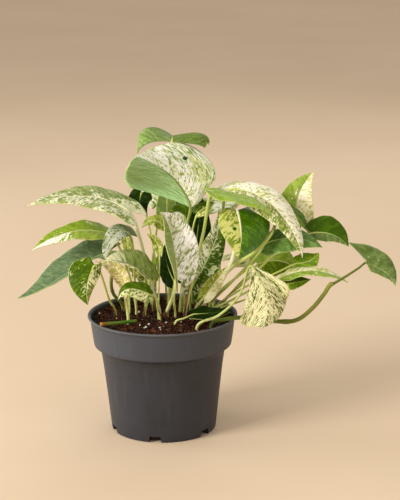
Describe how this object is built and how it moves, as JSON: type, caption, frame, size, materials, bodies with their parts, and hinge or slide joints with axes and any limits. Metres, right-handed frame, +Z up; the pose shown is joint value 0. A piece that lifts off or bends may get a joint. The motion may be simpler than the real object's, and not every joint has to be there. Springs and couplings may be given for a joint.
{
  "type": "potted marble variegata pothos",
  "caption": "Leafy aroid house plant with cream-marbled heart-shaped leaves and a trailing vine, rooted in soil in a round nursery pot.",
  "frame": {"origin": "centre of the flat foot of the pot, on the surface it stands on", "axes": "+Z up along the axis of the pot; +X towards the trailing vine; -Y towards the side with the tall marbled leaves facing out"},
  "size_m": [0.3785, 0.214, 0.2977],
  "materials": {
    "leaf_cream": "satin",
    "leaf_marbled": "satin",
    "leaf_bright_green": "satin",
    "leaf_deep_green": "glossy",
    "leaf_blue_green": "matte",
    "leaf_olive": "satin",
    "stem": "satin",
    "pot_plastic": "matte",
    "soil": "matte"
  },
  "bodies": {
    "root": {"leaf_top_saddle": "leaf_bright_green", "leaf_top_heart": "leaf_cream", "leaf_left_long": "leaf_marbled", "leaf_left_bright": "leaf_bright_green", "leaf_left_dark": "leaf_blue_green", "leaf_left_pale_hanging": "leaf_blue_green", "leaf_left_low_hanging": "leaf_marbled", "leaf_left_tan": "leaf_olive", "leaf_centre_left": "leaf_cream", "leaf_small_front": "leaf_cream", "leaf_centre_tall": "leaf_cream", "leaf_centre_dark": "leaf_deep_green", "leaf_back_dark": "leaf_deep_green", "leaf_top_small": "leaf_olive", "leaf_olive_left": "leaf_olive", "leaf_tail_narrow": "leaf_olive", "leaf_top_right_long": "leaf_bright_green", "leaf_right_cream": "leaf_cream", "leaf_right_glossy": "leaf_deep_green", "leaf_centre_marbled": "leaf_marbled", "leaf_centre_olive": "leaf_olive", "leaf_right_hanging": "leaf_cream", "leaf_right_blue": "leaf_blue_green", "leaf_right_low_dark": "leaf_deep_green", "leaf_right_bright": "leaf_bright_green", "leaf_right_mid_green": "leaf_bright_green", "leaf_right_under": "leaf_deep_green", "leaf_far_right": "leaf_deep_green", "leaf_right_round": "leaf_deep_green", "leaf_right_upright": "leaf_cream", "leaf_right_edge_on": "leaf_deep_green", "leaf_soil_dark": "leaf_deep_green", "leaf_behind_heart": "leaf_deep_green", "leaf_left_olive": "leaf_olive", "leaf_centre_low": "leaf_bright_green", "leaf_low_yellow": "leaf_olive", "leaf_behind_tall": "leaf_marbled", "leaf_rear_left_low": "leaf_marbled", "leaf_rear_left_high": "leaf_cream", "leaf_rear_centre": "leaf_bright_green", "leaf_rear_right_high": "leaf_marbled", "leaf_rear_right_low": "leaf_cream", "leaf_rear_hanging": "leaf_cream", "leaf_rear_upright": "leaf_deep_green", "vine_right": "stem", "stem_left_stub": "stem", "cut_stem_front": "stem", "pot": "pot_plastic", "soil": "soil"}
  },
  "joints": []
}
